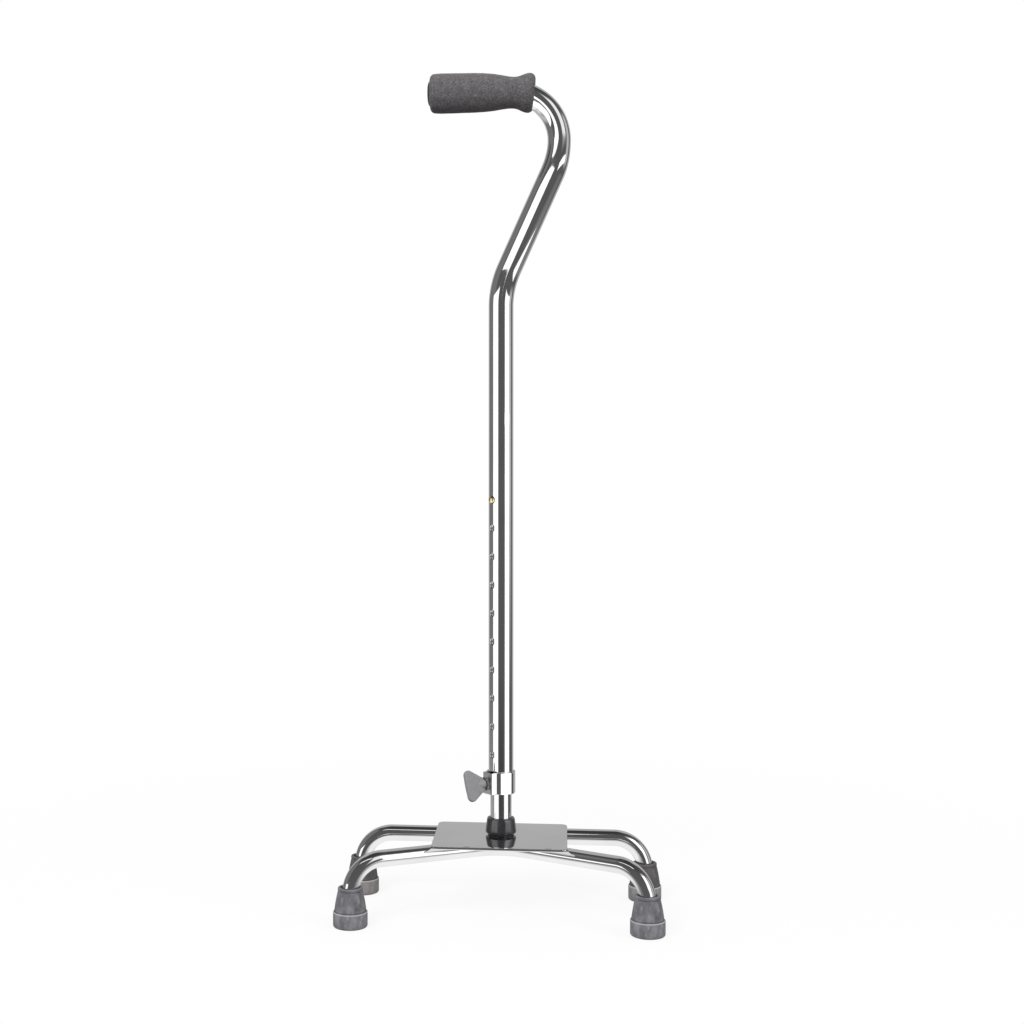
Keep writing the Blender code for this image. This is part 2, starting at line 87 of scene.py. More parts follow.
GRIP_Z = 734.4 * MM
HANDLE_END_X = -64.0 * MM
CROOK_START_X, CROOK_RADIUS = 8.2 * MM, 44.0 * MM
SHOULDER_RADIUS = 73.4 * MM
NECK_LEAN = radians(24.3)
NECK_BEND_RADIUS = 84.0 * MM
CROOK_SQUEEZE = 0.93

CLAMP_Z, CLAMP_HEIGHT, CLAMP_WALL = 113.7 * MM, 19.0 * MM, 1.5 * MM
CLAMP_AZIMUTH = radians(47.0)
POCKET_HALF_WIDTH, POCKET_FACE = 6.5 * MM, 16.5 * MM
STUD_RADIUS, STUD_PITCH = 3.0 * MM, 1.27 * MM
HUB_START, WING_LENGTH = 20.2 * MM, 21.6 * MM
WING_ROLL = radians(18.0)


# --- small geometry helpers --------------------------------------------------


def arc(centre, radius, start, end, count):
    """Points (u, v) along a circle, from one angle to another in degrees."""
    turns = [radians(start + (end - start) * i / count) for i in range(count + 1)]
    return [(centre[0] + radius * cos(a), centre[1] + radius * sin(a)) for a in turns]


def smooth(t):
    t = min(1.0, max(0.0, t))
    return t * t * (3 - 2 * t)


def outward(azimuth):
    return Vector((-sin(azimuth), -cos(azimuth), 0.0))


def frame_at(azimuth, z):
    """Local Z points out of the shaft at an azimuth, local X is level, local Y is up."""
    normal = outward(azimuth)
    level = Vector((0, 0, 1)).cross(normal)
    turn = Matrix((level, normal.cross(level), normal)).transposed().to_4x4()
    return Matrix.Translation((0.0, STEM_Y, z)) @ turn


def finished(bm, name, material, angle=35.0):
    """The bmesh as an object in the scene, smooth between sharp edges."""
    bmesh.ops.recalc_face_normals(bm, faces=bm.faces)
    mesh = bpy.data.meshes.new(name)
    bm.to_mesh(mesh)
    bm.free()
    obj = bpy.data.objects.new(name, mesh)
    bpy.context.scene.collection.objects.link(obj)
    if material:
        mesh.materials.append(material)
    shade(obj, angle)
    return obj


def shade(obj, angle=35.0):
    obj.data.shade_smooth()
    obj.data.set_sharp_from_angle(angle=radians(angle))


def applied(obj, angle=35.0):
    """The object with its modifiers made real."""
    graph = bpy.context.evaluated_depsgraph_get()
    graph.update()
    mesh = bpy.data.meshes.new_from_object(obj.evaluated_get(graph))
    old = obj.data
    obj.modifiers.clear()
    obj.data = mesh
    bpy.data.meshes.remove(old)
    shade(obj, angle)
    return obj


def combine(obj, others, operation="DIFFERENCE", angle=35.0):
    for other in others:
        change = obj.modifiers.new("boolean", "BOOLEAN")
        change.operation = operation
        change.object = other
        change.solver = "EXACT"
    applied(obj, angle)
    for other in others:
        bpy.data.objects.remove(other, do_unlink=True)
    return obj


def lathe(name, profile, material, steps=96, matrix=Matrix(), angle=35.0):
    """Turn (radius, height) points about Z. A profile that starts and ends on the axis makes a solid of
    revolution, any other is a closed ring."""
    bm = bmesh.new()
    uv = bm.loops.layers.uv.new("UVMap")
    closed = profile[0][0] > 0 or profile[-1][0] > 0
    rings = []
    for r, z in profile:
        if r <= 0:
            rings.append([bm.verts.new((0, 0, z))])
            continue
        ring = []
        for k in range(steps):
            a = 2 * pi * k / steps
            ring.append(bm.verts.new((r * cos(a), r * sin(a), z)))
        rings.append(ring)
    spans = [0.0]
    for (r0, z0), (r1, z1) in zip(profile, profile[1:] + profile[:1]):
        spans.append(spans[-1] + hypot(r1 - r0, z1 - z0))
    pairs = list(zip(range(len(rings)), range(1, len(rings))))
    if closed:
        pairs.append((len(rings) - 1, 0))
    for i, j in pairs:
        low, high = rings[i], rings[j]
        for k in range(steps):
            n = (k + 1) % steps
            corners = [(low[k % len(low)], k, i), (low[n % len(low)], k + 1, i)]
            corners += [(high[n % len(high)], k + 1, i + 1), (high[k % len(high)], k, i + 1)]
            if len(low) == 1:
                corners.pop(0)
            if len(high) == 1:
                corners.pop()
            face = bm.faces.new([c[0] for c in corners])
            for loop, (_, turn, span) in zip(face.loops, corners):
                loop[uv].uv = (turn / steps * 0.1, spans[span])
    bm.transform(matrix)
    return finished(bm, name, material, angle)


def pipe(name, stations, material, sides=64, relief=None):
    """A tube along stations (centre, outer radius, inner radius or 0 for a solid rod), with UVs in metres."""
    points = [s[0] for s in stations]
    tangents = []
    for i in range(len(points)):
        a, b = points[max(0, i - 1)], points[min(len(points) - 1, i + 1)]
        tangents.append((b - a).normalized())
    side = Vector((0, 1, 0))
    side = (side - tangents[0] * side.dot(tangents[0])).normalized()
    bm = bmesh.new()
    uv = bm.loops.layers.uv.new("UVMap")
    outer, inner, lengths = [], [], []
    travelled = 0.0
    for i, (centre, big, small) in enumerate(stations):
        if i:
            travelled += (centre - points[i - 1]).length
            side = (side - tangents[i] * side.dot(tangents[i])).normalized()
        lengths.append(travelled)
        up = side.cross(tangents[i])
        ring_out, ring_in = [], []
        for k in range(sides):
            a = 2 * pi * k / sides
            direction = side * cos(a) + up * sin(a)
            extra = relief(i, direction) if relief else 0.0
            ring_out.append(bm.verts.new(centre + direction * (big + extra)))
            if small:
                ring_in.append(bm.verts.new(centre + direction * small))
        outer.append(ring_out)
        inner.append(ring_in)

    def quad(corners):
        face = bm.faces.new([c[0] for c in corners])
        for loop, (_, k, v) in zip(face.loops, corners):
            loop[uv].uv = (k / sides * 2 * pi * UPPER_RADIUS, v)

    for i in range(len(stations) - 1):
        for k in range(sides):
            n = (k + 1) % sides
            v0, v1 = lengths[i], lengths[i + 1]
            low, high = outer[i], outer[i + 1]
            quad([(low[k], k, v0), (low[n], k + 1, v0), (high[n], k + 1, v1), (high[k], k, v1)])
            if inner[i]:
                low, high = inner[i], inner[i + 1]
                quad([(low[k], k, v0), (high[k], k, v1), (high[n], k + 1, v1), (low[n], k + 1, v0)])
    for end in (0, -1):
        wide, narrow, v = outer[end], inner[end], lengths[end]
        if narrow:
            for k in range(sides):
                n = (k + 1) % sides
                quad([(wide[k], k, v), (wide[n], k + 1, v), (narrow[n], k + 1, v), (narrow[k], k, v)])
        else:
            bm.faces.new(wide)
    return finished(bm, name, material)


def hole_cutter(radius, azimuth, z, start, flare_from, flare_to, rim):
    """A bar along the outward axis that opens out near its end, so that the hole gets a small chamfer."""
    profile = [(0, start), (radius, start), (radius, flare_from), (radius + rim, flare_to)]
    profile += [(radius + rim, flare_to + 4 * MM), (0, flare_to + 4 * MM)]
    return lathe("cutter", profile, None, 40, frame_at(azimuth, z))


def true_round(obj, radius, top):
    """Give the straight tube's outer faces the normals of a true cylinder, so the holes don't dent its shine."""
    mesh = obj.data
    normals = [Vector(n.vector) for n in mesh.corner_normals]
    for face in mesh.polygons:
        corners = [mesh.vertices[v].co for v in face.vertices]
        if max(c.z for c in corners) > top + GAP:
            continue
        if any(abs(hypot(c.x, c.y - STEM_Y) - radius) > 0.03 * MM for c in corners):
            continue
        for loop, c in zip(face.loop_indices, corners):
            normals[loop] = Vector((c.x, c.y - STEM_Y, 0)).normalized()
    mesh.normals_split_custom_set(normals)


# --- finishes ----------------------------------------------------------------


class Graph:
    """A node tree being built: each method adds a node and gives its output."""

    def __init__(self, tree):
        self.nodes, self.links = tree.nodes, tree.links

    def node(self, kind, **values):
        made = self.nodes.new(kind)
        for key, value in values.items():
            if key in made.inputs:
                made.inputs[key].default_value = value
            else:
                setattr(made, key, value)
        return made

    def fill(self, sockets, values):
        for socket, value in zip(sockets, values):
            if isinstance(value, (int, float)):
                socket.default_value = value
            elif isinstance(value, tuple):
                socket.default_value = (*value, 1.0)
            else:
                self.links.new(value, socket)

    def ramp(self, fac, stops):
        made = self.node("ShaderNodeValToRGB")
        elements = made.color_ramp.elements
        while len(elements) < len(stops):
            elements.new(0.5)
        for element, (position, colour) in zip(elements, stops):
            element.position = position
            element.color = (*colour, 1.0) if isinstance(colour, tuple) else (colour, colour, colour, 1.0)
        self.links.new(fac, made.inputs["Fac"])
        return made.outputs["Color"]

    def span(self, value, low, high, new_low=0.0, new_high=1.0, shape="LINEAR"):
        made = self.node("ShaderNodeMapRange", interpolation_type=shape)
        keys = ("Value", "From Min", "From Max", "To Min", "To Max")
        self.fill([made.inputs[key] for key in keys], (value, low, high, new_low, new_high))
        return made.outputs["Result"]

    def math(self, operation, *values):
        made = self.node("ShaderNodeMath", operation=operation)
        self.fill(made.inputs, values)
        return made.outputs[0]

    def mix(self, fac, a, b, blend="MIX"):
        made = self.node("ShaderNodeMix", data_type="RGBA", blend_type=blend)
        self.fill((made.inputs[0], made.inputs[6], made.inputs[7]), (fac, a, b))
        return made.outputs[2]


class Finish(Graph):
    """A material being built round its Principled shader."""

    def __init__(self, name, **values):
        self.material = bpy.data.materials.new(name)
        self.material.use_nodes = True
        super().__init__(self.material.node_tree)
        self.shader = self.nodes["Principled BSDF"]
        for key, value in values.items():
            self.fill([self.shader.inputs[key.replace("_", " ")]], [value])

    def coordinates(self, output, scale):
        place = self.node("ShaderNodeTexCoord")
        mapping = self.node("ShaderNodeMapping")
        mapping.inputs["Scale"].default_value = scale
        self.links.new(place.outputs[output], mapping.inputs["Vector"])
        return mapping.outputs["Vector"]

    def noise(self, output, scale, detail=3.0, roughness=0.55, size=1.0):
        texture = self.node("ShaderNodeTexNoise", Scale=size, Detail=detail, Roughness=roughness)
        self.links.new(self.coordinates(output, scale), texture.inputs["Vector"])
        return texture.outputs["Fac"]

    def set(self, key, output):
        self.links.new(output, self.shader.inputs[key])

    def bump(self, *heights):
        """heights: (output, strength, distance), one on top of another."""
        normal = None
        for output, strength, distance in heights:
            made = self.node("ShaderNodeBump", Strength=strength, Distance=distance)
            self.links.new(output, made.inputs["Height"])
            if normal:
                self.links.new(normal, made.inputs["Normal"])
            normal = made.outputs["Normal"]
        self.links.new(normal, self.shader.inputs["Normal"])


def chrome_finish(name, output, stretch, tint=(0.90, 0.90, 0.91), rough=(0.025, 0.075)):
    """Bright plate: faint draw lines along the metal, a light haze, and a few rubbed patches."""
    made = Finish(name, Base_Color=tint, Metallic=1.0, Roughness=0.04)
    haze = made.noise(output, (60, 60, 60), 4.0)
    lines = made.noise(output, stretch, 2.0)
    wear = made.noise(output, (25, 25, 25), 2.0)
    darker = tuple(c * 0.93 for c in tint)
    made.set("Base Color", made.ramp(wear, [(0.30, darker), (0.62, tint)]))
    made.set("Roughness", made.span(made.math("MULTIPLY", haze, lines), 0.12, 0.42, *rough))
    made.bump((lines, 0.05, 0.02 * MM), (haze, 0.03, 0.05 * MM))
    return made.material


def steel_finish(name, tint, rough, metallic=1.0):
    made = Finish(name, Base_Color=tint, Metallic=metallic, Roughness=rough)
    grain = made.noise("Object", (900, 900, 900), 3.0)
    patch = made.noise("Object", (160, 160, 160), 3.0)
    darker = tuple(c * 0.78 for c in tint)
    made.set("Base Color", made.ramp(patch, [(0.32, darker), (0.66, tint)]))
    made.set("Roughness", made.span(grain, 0.3, 0.7, rough * 0.8, rough * 1.25))
    made.bump((grain, 0.12, 0.04 * MM))
    return made.material


def foam_finish():
    """Closed-cell foam rubber: fine pores, soft mottling and a dusty bloom."""
    made = Finish("foam_rubber", Base_Color=(0.11, 0.105, 0.108), Roughness=0.93, Metallic=0.0)
    made.shader.inputs["Specular IOR Level"].default_value = 0.22
    made.shader.inputs["Sheen Weight"].default_value = 0.12
    made.shader.inputs["Sheen Roughness"].default_value = 0.55
    blotch = made.noise("Object", (210, 210, 210), 3.0)
    grit = made.noise("Object", (620, 620, 620), 3.0, 0.7)
    cells = made.node("ShaderNodeTexVoronoi", feature="F1", Scale=1.0)
    made.links.new(made.coordinates("Object", (1150, 1150, 1150)), cells.inputs["Vector"])
    pore, skin, bloom = (0.070, 0.066, 0.069), (0.124, 0.116, 0.122), (0.200, 0.189, 0.197)
    colour = made.ramp(grit, [(0.30, pore), (0.52, skin), (0.72, bloom)])
    shade_of = made.ramp(blotch, [(0.28, 0.80), (0.70, 1.14)])
    made.set("Base Color", made.mix(1.0, colour, shade_of, "MULTIPLY"))
    made.set("Roughness", made.span(blotch, 0.3, 0.7, 0.86, 0.97))
    made.bump((cells.outputs["Distance"], 0.5, 0.22 * MM), (grit, 0.6, 0.3 * MM), (blotch, 0.35, 0.5 * MM))
    return made.material


def rubber_finish(name, light, dark, painted_shade_above_band, rough=(0.5, 0.75)):
    """Moulded rubber with dusty, scuffed patches, a painted highlight along the top edge of its band and painted
    shade in the groove just above it. The argument after dark darkens the whole part above the band with painted
    shade."""
    made = Finish(name, Base_Color=light, Roughness=0.65, Metallic=0.0)
    made.shader.inputs["Specular IOR Level"].default_value = 0.4
    cloud = made.noise("Object", (140, 140, 90), 4.0, 0.6)
    scuff = made.noise("Object", (420, 420, 160), 5.0, 0.7)
    grain = made.noise("Object", (1500, 1500, 1500), 2.0)
    colour = made.ramp(cloud, [(0.30, dark), (0.68, light)])
    pale = tuple(min(1.0, c * 1.75) for c in light)
    colour = made.mix(made.span(scuff, 0.56, 0.70, 0.0, 0.60), colour, pale)
    split = made.node("ShaderNodeSeparateXYZ")
    made.links.new(made.coordinates("Object", (1, 1, 1)), split.inputs[0])
    z = split.outputs["Z"]
    edge = TIP_BAND_Z
    # Painted shade: everything above the band is darkened by the given factor.
    above = made.span(z, edge - 0.6 * MM, edge + 0.4 * MM)
    shaded = made.mix(1.0, colour, (painted_shade_above_band, painted_shade_above_band, painted_shade_above_band), "MULTIPLY")
    colour = made.mix(above, colour, shaded)
    # Painted highlight: a pale line along the top edge of the band.
    painted_highlight_starts = made.span(z, edge - 1.0 * MM, edge - 0.3 * MM, 0.0, 0.7)
    painted_highlight_ends = made.span(z, edge, edge + 0.2 * MM, 1.0, 0.0)
    colour = made.mix(made.math("MULTIPLY", painted_highlight_starts, painted_highlight_ends), colour, pale)
    # Painted shade: a dark line in the crease just above the band.
    painted_shade_starts = made.span(z, edge + 0.1 * MM, edge + 0.4 * MM, 0.0, 0.6)
    painted_shade_ends = made.span(z, edge + 0.8 * MM, edge + 1.8 * MM, 1.0, 0.0)
    colour = made.mix(made.math("MULTIPLY", painted_shade_starts, painted_shade_ends), colour, tuple(c * 0.3 for c in dark))
    made.set("Base Color", colour)
    made.set("Roughness", made.span(cloud, 0.3, 0.7, *rough))
    made.bump((grain, 0.25, 0.05 * MM), (scuff, 0.25, 0.12 * MM))
    return made.material


def boot_finish():
    made = Finish("boot_rubber", Base_Color=(0.012, 0.012, 0.013), Roughness=0.3, Metallic=0.0)
    made.shader.inputs["IOR"].default_value = 1.8
    cloud = made.noise("Object", (260, 260, 120), 3.0)
    grain = made.noise("Object", (1300, 1300, 1300), 2.0)
    made.set("Base Color", made.ramp(cloud, [(0.3, (0.014, 0.014, 0.016)), (0.7, (0.028, 0.028, 0.032))]))
    made.set("Roughness", made.span(cloud, 0.3, 0.7, 0.16, 0.26))
    made.bump((grain, 0.2, 0.04 * MM), (cloud, 0.2, 0.15 * MM))
    return made.material


def cast_finish():
    """Tumbled zinc casting: satin, faintly pitted, brighter where it is handled."""
    made = Finish("cast_zinc", Base_Color=(0.33, 0.33, 0.34), Roughness=0.5, Metallic=0.15)
    grain = made.noise("Object", (1100, 1100, 1100), 3.0)
    cloud = made.noise("Object", (190, 190, 190), 2.0)
    made.set("Base Color", made.ramp(cloud, [(0.3, (0.305, 0.305, 0.320)), (0.7, (0.350, 0.350, 0.365))]))
    made.set("Roughness", made.span(cloud, 0.3, 0.7, 0.42, 0.55))
    made.bump((grain, 0.22, 0.05 * MM), (cloud, 0.15, 0.25 * MM))
    return made.material


def plastic_finish():
    made = Finish("plug_plastic", Base_Color=(0.035, 0.035, 0.038), Roughness=0.35)
    grain = made.noise("Object", (700, 700, 700), 3.0)
    made.set("Base Color", made.ramp(grain, [(0.3, (0.028, 0.028, 0.030)), (0.7, (0.050, 0.050, 0.054))]))
    made.set("Roughness", made.span(grain, 0.3, 0.7, 0.28, 0.42))
    made.bump((grain, 0.12, 0.04 * MM))
    return made.material


TUBE = chrome_finish("chrome_tube", "UV", (2600, 14, 1))
PLATE = chrome_finish("chrome_plate", "Object", (30, 900, 30), (0.88, 0.88, 0.885), (0.02, 0.05))
STRAP = chrome_finish("chrome_strap", "Object", (60, 60, 1500), (0.90, 0.90, 0.91), (0.04, 0.10))
STEEL = steel_finish("zinc_plated_steel", (0.62, 0.62, 0.61), 0.3)
SPRING_STEEL = steel_finish("spring_steel", (0.50, 0.50, 0.50), 0.26)
BRASS = steel_finish("yellow_plate", (0.80, 0.66, 0.36), 0.16)
FOAM = foam_finish()
# Both tips carry painted shade above the band. The rear tips get a lighter copy of the rubber with much deeper
# painted shade above the band, standing in for how the light falls on them.
RUBBER = rubber_finish("tip_rubber", (0.310, 0.307, 0.330), (0.135, 0.134, 0.150), 0.84)
RUBBER_REAR_PAINTED_LIGHT = rubber_finish("tip_rubber_rear_painted_light", (0.375, 0.360, 0.357), (0.225, 0.216, 0.216), 0.42)
BOOT = boot_finish()
CAST = cast_finish()
PLASTIC = plastic_finish()


# --- upper tube, grip and plug -----------------------------------------------


def shaft_stations():
    """Down the middle of the upper tube: (x, z, squeeze, angle round the crook in degrees or None)."""
    path = [(HANDLE_END_X, GRIP_Z, 1.0, None), (CROOK_START_X - 40 * MM, GRIP_Z, 1.0, None)]
    path += [(CROOK_START_X - 12 * MM, GRIP_Z, 1.0, None)]
    crook = (CROOK_START_X, GRIP_Z - CROOK_RADIUS)
    count = 60
    for i, (x, z) in enumerate(arc(crook, CROOK_RADIUS, 90, 0, count)):
        path.append((x, z, CROOK_SQUEEZE, 90 - 90 * i / count))
    shoulder = (crook[0] + CROOK_RADIUS - SHOULDER_RADIUS, crook[1])
    lean = degrees(NECK_LEAN)
    curve = arc(shoulder, SHOULDER_RADIUS, 0, -lean, 16)[1:]
    for i, (x, z) in enumerate(curve):
        path.append((x, z, CROOK_SQUEEZE + (1 - CROOK_SQUEEZE) * smooth((i + 1) / len(curve)), None))
    x, z = path[-1][:2]
    corner_z = z - x / tan(NECK_LEAN)
    tangent = NECK_BEND_RADIUS * tan(NECK_LEAN / 2)
    lower = arc((NECK_BEND_RADIUS, corner_z - tangent), NECK_BEND_RADIUS, 180 - lean, 180, 20)
    path += [(x, z, 1.0, None) for x, z in lower]
    straight = path[-1][1] - UPPER_BOTTOM_Z
    path += [(0.0, UPPER_BOTTOM_Z + straight * (1 - i / 16), 1.0, None) for i in range(1, 17)]
    return path


def make_handle_tube():
    path = shaft_stations()
    stations = []
    for x, z, squeeze, _ in path:
        big = UPPER_RADIUS * squeeze
        stations.append((Vector((x, STEM_Y, z)), big, big - UPPER_WALL))
    crook = Vector((CROOK_START_X, STEM_Y, GRIP_Z - CROOK_RADIUS))

    def wrinkles(i, direction):
        """The inside of the tight bend has shallow ripples where the tube was bent."""
        turn = path[i][3]
        if turn is None:
            return 0.0
        inwards = (crook - stations[i][0]).normalized()
        facing = max(0.0, direction.dot(inwards) - 0.15) / 0.85
        fade = smooth((turn - 38) / 14) * smooth((92 - turn) / 10)
        return 0.14 * MM * facing * fade * sin(radians(turn) * CROOK_RADIUS / (3.3 * MM) * 2)

    tube = pipe("upper_tube_bright", stations, TUBE, 72, wrinkles)
    cutters = []
    for i in range(HOLE_COUNT):
        z = BUTTON_Z - HOLE_PITCH * i
        cutters.append(hole_cutter(HOLE_RADIUS, HOLE_AZIMUTH, z, 4 * MM, 10.4 * MM, 11.3 * MM, 0.45 * MM))
    stud_hole = STUD_RADIUS + 0.7 * MM
    cutters.append(hole_cutter(stud_hole, CLAMP_AZIMUTH, CLAMP_Z, 4 * MM, 12 * MM, 13 * MM, 0.1 * MM))
    combine(tube, cutters)
    true_round(tube, UPPER_RADIUS, STRAIGHT_TOP_Z)
    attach(tube, "upper")
    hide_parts("handle_tube")


GRIP_LENGTH = 95.0 * MM
GRIP_SHAPE = (  # along the grip, radius, in millimetres
    (0.0, 17.2),
    (10.0, 17.7),
    (30.0, 17.5),
    (45.0, 17.25),
    (57.0, 16.35),
    (68.0, 14.55),
    (74.0, 14.0),
    (79.0, 14.4),
    (84.5, 16.3),
    (88.5, 17.4),
    (95.0, 17.5),
)


def grip_radius(u):
    """Catmull-Rom through the grip's shape."""
    shape = GRIP_SHAPE
    u = u / MM
    i = max(k for k in range(len(shape) - 1) if shape[k][0] <= u or k == 0)
    p = [shape[min(max(i + k, 0), len(shape) - 1)] for k in (-1, 0, 1, 2)]
    t = (u - p[1][0]) / (p[2][0] - p[1][0])
    m1 = (p[2][1] - p[0][1]) / max(p[2][0] - p[0][0], 0.01) * (p[2][0] - p[1][0])
    m2 = (p[3][1] - p[1][1]) / max(p[3][0] - p[1][0], 0.01) * (p[2][0] - p[1][0])
    value = (2 * t**3 - 3 * t**2 + 1) * p[1][1] + (t**3 - 2 * t**2 + t) * m1
    value += (-2 * t**3 + 3 * t**2) * p[2][1] + (t**3 - t**2) * m2
    return value * MM


def make_grip():
    """The foam sleeve: a fine mesh with a slightly uneven skin, an angled mouth, and a bore round the tube."""
    start_corner, end_corner = 4.6 * MM, 4.8 * MM
    profile = [(0.0, 0.0), (11.9 * MM, 0.0)]
    first = grip_radius(start_corner)
    profile += [(first - start_corner + r, start_corner + u) for u, r in arc((0, 0), start_corner, 180, 90, 8)]
    steps = 88
    for i in range(1, steps):
        u = start_corner + (GRIP_LENGTH - start_corner - end_corner) * i / steps
        profile.append((grip_radius(u), u))
    last = grip_radius(GRIP_LENGTH - end_corner)
    mouth = [(last - end_corner + r, GRIP_LENGTH - end_corner + u) for u, r in arc((0, 0), end_corner, 90, 0, 8)]
    profile += mouth + [(11.9 * MM, GRIP_LENGTH), (0.0, GRIP_LENGTH)]
    place = Matrix.Translation((HANDLE_END_X, STEM_Y, GRIP_Z)) @ Matrix.Rotation(pi / 2, 4, "Y")
    grip = lathe("foam_sleeve", profile, FOAM, 128, place, angle=60)
    slant, mouth_x = tan(radians(4.5)), HANDLE_END_X + GRIP_LENGTH
    for vertex in grip.data.vertices:
        co = vertex.co
        radial = Vector((0, co.y - STEM_Y, co.z - GRIP_Z))
        if radial.length > 12 * MM:
            lumps = noise.noise(co / (1.5 * MM)) * 0.11 + noise.noise(co / (6 * MM)) * 0.12
            co += radial.normalized() * lumps * MM
            co.z -= 1.1 * MM * smooth((co.x - mouth_x + 34 * MM) / (26 * MM))
        near = smooth((co.x - mouth_x + 28 * MM) / (28 * MM))
        co.x += (co.z - GRIP_Z - 12 * MM) * slant * near * (0.0 if co.z > GRIP_Z + 12 * MM else 1.0)
        co.z = min(co.z, CAD_HIGH.z - 0.02 * MM)
    bore = []
    for x, z, squeeze, _ in shaft_stations():
        if z > GRIP_Z - 60 * MM:
            bore.append((Vector((x, STEM_Y, z)), UPPER_RADIUS * squeeze + 0.2 * MM, 0))
    bore.insert(0, (Vector((HANDLE_END_X - 6 * MM, STEM_Y, GRIP_Z)), UPPER_RADIUS + 0.2 * MM, 0))
    combine(grip, [pipe("bore", bore, None, 96)], angle=60)
    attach(grip, "upper")
    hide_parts("foam_grip")


def make_plug():
    """Domed plug with a stepped rim and a stub in the tube."""
    head, low = 10.6 * MM, 0.35 * MM
    profile = [(0.0, 2.4 * MM)]
    profile += [(head * 0.86 * sin(radians(a)), 1.5 * MM + 0.9 * MM * cos(radians(a))) for a in range(9, 91, 9)]
    profile += [(head - 0.8 * MM, 1.45 * MM), (head - 0.25 * MM, 1.2 * MM)]
    profile += [(head, 0.8 * MM), (head, low + 0.1 * MM)]
    profile += [(head - 0.1 * MM, low), (9.5 * MM, low), (9.5 * MM, -4 * MM), (9.3 * MM, -4.4 * MM)]
    profile += [(9.3 * MM, -8 * MM), (9.1 * MM, -14 * MM), (0.0, -14 * MM)]
    place = Matrix.Translation((HANDLE_END_X, STEM_Y, GRIP_Z)) @ Matrix.Rotation(-pi / 2, 4, "Y")
    plug = lathe("end_plug_domed", profile, PLASTIC, 72, place)
    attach(plug, "upper")
    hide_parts("tube_end_plug")


# --- collar and thumb screw --------------------------------------------------


def make_collar():
    """The folded strap, from its inner and outer outlines, with softened edges and a hole for the screw."""
    middle = UPPER_RADIUS + GAP + CLAMP_WALL / 2
    side, face = POCKET_HALF_WIDTH - CLAMP_WALL / 2, POCKET_FACE - CLAMP_WALL / 2
    half = degrees(asin(side / middle))
    fillet, splay = 1.3 * MM, 0.5 * MM
    flat_at, flat_reach, swell = 376, 48, 0.75 * MM  # the strap bulges on both sides of its flat front
    steps = 96
    loop = []
    for i in range(steps + 1):
        turn = 90 + half + (360 - 2 * half) * i / steps
        off = turn - flat_at
        radius = middle + (swell * sin(radians(off) * 180 / flat_reach) ** 2 if abs(off) < flat_reach else 0.0)
        loop.append((radius * cos(radians(turn)), radius * sin(radians(turn))))
    loop[0] = (loop[0][0] - splay, loop[0][1])
    loop[-1] = (loop[-1][0] + splay, loop[-1][1])
    loop += arc((side - fillet, face - fillet), fillet, 8, 90, 6)
    loop += arc((-side + fillet, face - fillet), fillet, 90, 172, 6)
    count = len(loop)
    outer, inner = [], []
    for i, (u, v) in enumerate(loop):
        (u0, v0), (u1, v1) = loop[i - 1], loop[(i + 1) % count]
        back, on = Vector((u - u0, v - v0)).normalized(), Vector((u1 - u, v1 - v)).normalized()
        normal = Vector((back.y + on.y, -back.x - on.x)).normalized()
        reach = CLAMP_WALL / 2 / max(0.5, normal.dot(Vector((back.y, -back.x))))
        outer.append((u + normal.x * reach, v + normal.y * reach))
        inner.append((u - normal.x * reach, v - normal.y * reach))
    bm = bmesh.new()
    low, high = -CLAMP_HEIGHT / 2, CLAMP_HEIGHT / 2
    rings = []
    near = 0.7 * MM
    levels = [(outer, y) for y in (low, low + near, high - near, high)]
    levels += [(inner, y) for y in (high, high - near, low + near, low)]
    for outline, y in levels:
        rings.append([bm.verts.new((u, y, v)) for u, v in outline])
    for a in range(8):
        for i in range(count):
            j = (i + 1) % count
            bm.faces.new((rings[a][i], rings[a][j], rings[(a + 1) % 8][j], rings[(a + 1) % 8][i]))
    bm.transform(frame_at(CLAMP_AZIMUTH, CLAMP_Z))
    collar = finished(bm, "collar_strap", STRAP, 50)
    edge = collar.modifiers.new("edges", "BEVEL")
    edge.width, edge.segments, edge.limit_method, edge.angle_limit = 0.35 * MM, 3, "ANGLE", radians(60)
    hole, start, end = STUD_RADIUS + 0.4 * MM, 13.0 * MM, 20.0 * MM
    bar = [(0, start), (hole, start), (hole, end), (0, end)]
    combine(collar, [lathe("cutter", bar, None, 40, frame_at(CLAMP_AZIMUTH, CLAMP_Z))])
    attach(collar, "upper")
    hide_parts("clamp_collar")


